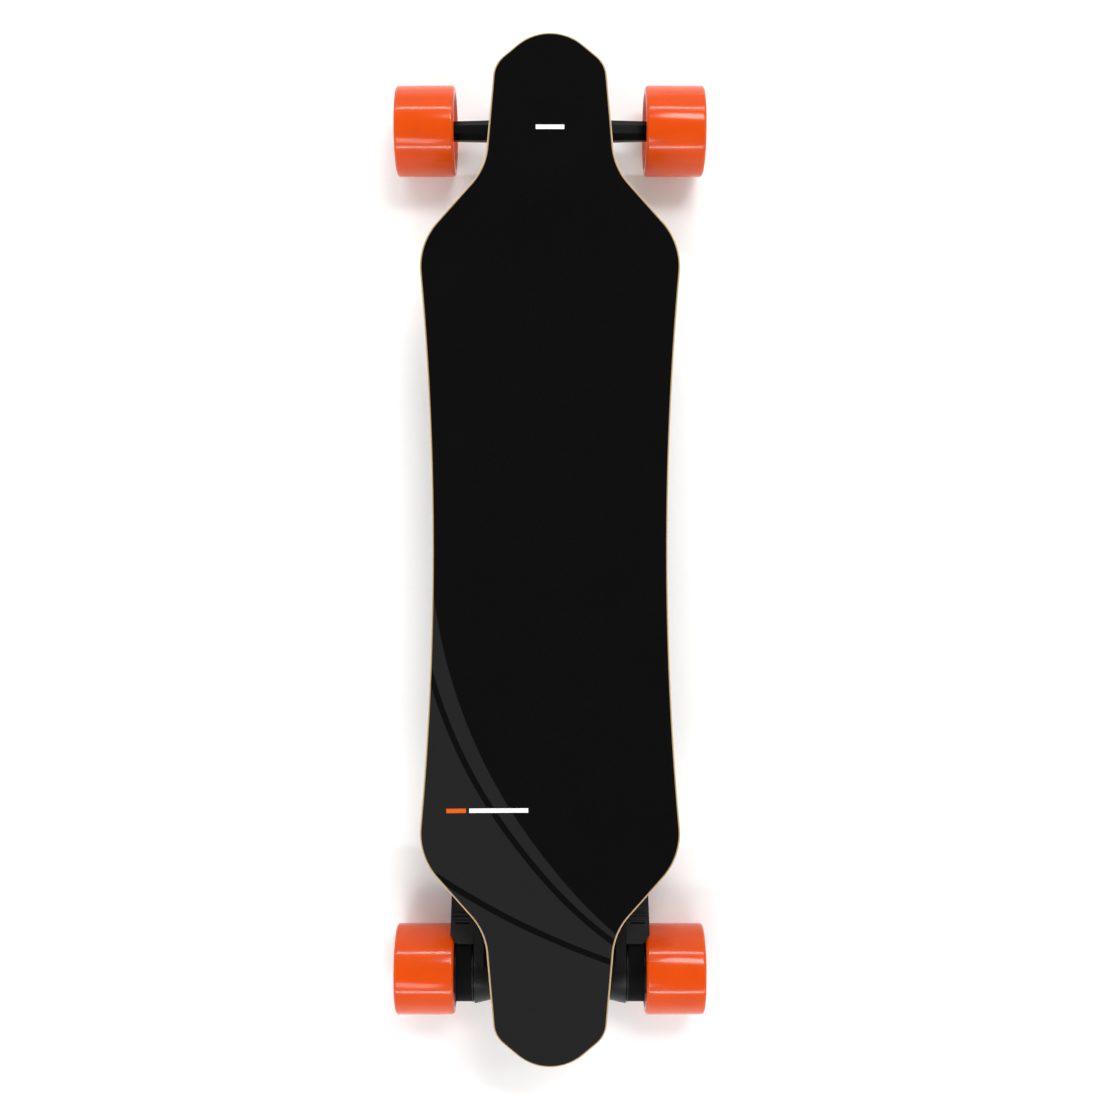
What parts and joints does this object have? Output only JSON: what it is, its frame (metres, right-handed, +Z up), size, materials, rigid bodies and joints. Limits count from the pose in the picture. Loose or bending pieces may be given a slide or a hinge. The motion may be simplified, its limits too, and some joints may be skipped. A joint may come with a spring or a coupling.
{
  "type": "electric skateboard",
  "caption": "Twin belt-drive electric longboard with a waisted wooden deck, wide wheels, kingpin trucks and a battery enclosure underneath.",
  "frame": {"origin": "on the ground below the middle of the deck", "axes": "+X towards the nose, +Y to the rider's left when facing the nose, +Z up"},
  "size_m": [0.9428, 0.292, 0.1184],
  "materials": {
    "maple_ply": "clear-coated laminated maple",
    "grip": "fine-grit printed grip surface",
    "orange_urethane": "glossy cast urethane",
    "core_plastic": "glass-filled black nylon",
    "black_alloy": "satin black powder coat",
    "steel": "zinc plated",
    "black_steel": "black oxide",
    "brass": "machined",
    "black_rubber": "matt rubber",
    "bushing_urethane": "cast urethane",
    "black_plastic": "fine-textured moulded plastic",
    "cell_wrap": "heat-shrunk cell wrap",
    "circuit": "solder-masked circuit board",
    "bare_alloy": "natural extruded",
    "copper": "enamelled copper windings on laminations"
  },
  "bodies": {
    "board": {"deck": "maple_ply", "grip_tape": "grip", "riser_pads": "black_rubber", "truck_bolts": "black_steel", "truck_inserts": "brass", "front_baseplate": "black_alloy", "rear_baseplate": "black_alloy", "kingpins": "steel", "kingpin_hardware": "steel", "pivot_cups": "bushing_urethane", "front_bushings": "bushing_urethane", "rear_bushings": "bushing_urethane", "enclosure_shell": "black_plastic", "enclosure_gasket": "black_rubber", "enclosure_screws": "black_steel", "battery_cells": "cell_wrap", "bms_board": "circuit", "esc_board": "circuit", "esc_heatsink": "bare_alloy", "charge_socket": "black_plastic", "cap_hinge": "black_steel", "power_switch": "black_plastic", "cable_glands": "black_plastic"},
    "front_truck": {"front_hanger": "black_alloy", "front_axle": "steel", "front_axle_hardware": "steel"},
    "rear_truck": {"rear_hanger": "black_alloy", "rear_axle": "steel", "rear_axle_hardware": "steel", "stators": "copper", "mount_screws": "black_steel", "motor_cables": "black_rubber", "motor_mount_left": "black_alloy", "motor_housing_left": "black_alloy", "belt_cover_left": "black_plastic", "belt_left": "black_rubber", "motor_mount_right": "black_alloy", "motor_housing_right": "black_alloy", "belt_cover_right": "black_plastic", "belt_right": "black_rubber"},
    "front_left_wheel": {"front_left_tyre": "orange_urethane", "front_left_core": "core_plastic", "front_left_bearings": "steel"},
    "front_right_wheel": {"front_right_tyre": "orange_urethane", "front_right_core": "core_plastic", "front_right_bearings": "steel"},
    "rear_left_wheel": {"rear_left_tyre": "orange_urethane", "rear_left_core": "core_plastic", "rear_left_bearings": "steel", "wheel_pulley_left": "core_plastic"},
    "rear_right_wheel": {"rear_right_tyre": "orange_urethane", "rear_right_core": "core_plastic", "rear_right_bearings": "steel", "wheel_pulley_right": "core_plastic"},
    "left_rotor": {"rotor_left": "steel", "motor_pulley_left": "steel"},
    "right_rotor": {"rotor_right": "steel", "motor_pulley_right": "steel"},
    "power_button": {"power_button": "black_rubber"},
    "charge_cap": {"charge_cap": "black_rubber"}
  },
  "joints": [
    {"name": "front_steer", "type": "hinge", "parent": "board", "child": "front_truck", "pos_m": [0.39455, 0, 0.04745], "axis": [0.7071, 0, 0.7071], "range_deg": [-15, 15], "stiffness_Nm_per_rad": 70, "deforming": ["front_bushings"]},
    {"name": "rear_steer", "type": "hinge", "parent": "board", "child": "rear_truck", "pos_m": [-0.39455, 0, 0.04745], "axis": [-0.7071, 0, 0.7071], "range_deg": [-15, 15], "stiffness_Nm_per_rad": 70, "deforming": ["rear_bushings", "motor_cables"]},
    {"name": "front_left_spin", "type": "hinge", "parent": "front_truck", "child": "front_left_wheel", "pos_m": [0.3995, 0.118, 0.0425], "axis": [0, 1, 0], "continuous": true},
    {"name": "front_right_spin", "type": "hinge", "parent": "front_truck", "child": "front_right_wheel", "pos_m": [0.3995, -0.118, 0.0425], "axis": [0, 1, 0], "continuous": true},
    {"name": "rear_left_spin", "type": "hinge", "parent": "rear_truck", "child": "rear_left_wheel", "pos_m": [-0.3995, 0.118, 0.0425], "axis": [0, 1, 0], "continuous": true, "deforming": ["belt_left"]},
    {"name": "rear_right_spin", "type": "hinge", "parent": "rear_truck", "child": "rear_right_wheel", "pos_m": [-0.3995, -0.118, 0.0425], "axis": [0, 1, 0], "continuous": true, "deforming": ["belt_right"]},
    {"name": "left_rotor_spin", "type": "hinge", "parent": "rear_truck", "child": "left_rotor", "pos_m": [-0.31746, 0.05, 0.0425], "axis": [0, 1, 0], "continuous": true},
    {"name": "right_rotor_spin", "type": "hinge", "parent": "rear_truck", "child": "right_rotor", "pos_m": [-0.31746, -0.05, 0.0425], "axis": [0, 1, 0], "continuous": true},
    {"name": "power_press", "type": "slide", "parent": "board", "child": "power_button", "axis": [0, -1, 0], "range_m": [0, 0.001], "stiffness_N_per_m": 400},
    {"name": "charge_cap_hinge", "type": "hinge", "parent": "board", "child": "charge_cap", "pos_m": [-0.164, 0.0867, 0.076], "axis": [0, 0, 1], "range_deg": [0, 150]}
  ],
  "couplings": [
    {"joint": "left_rotor_spin", "follows": "rear_left_spin", "ratio": 2.4},
    {"joint": "right_rotor_spin", "follows": "rear_right_spin", "ratio": 2.4}
  ]
}
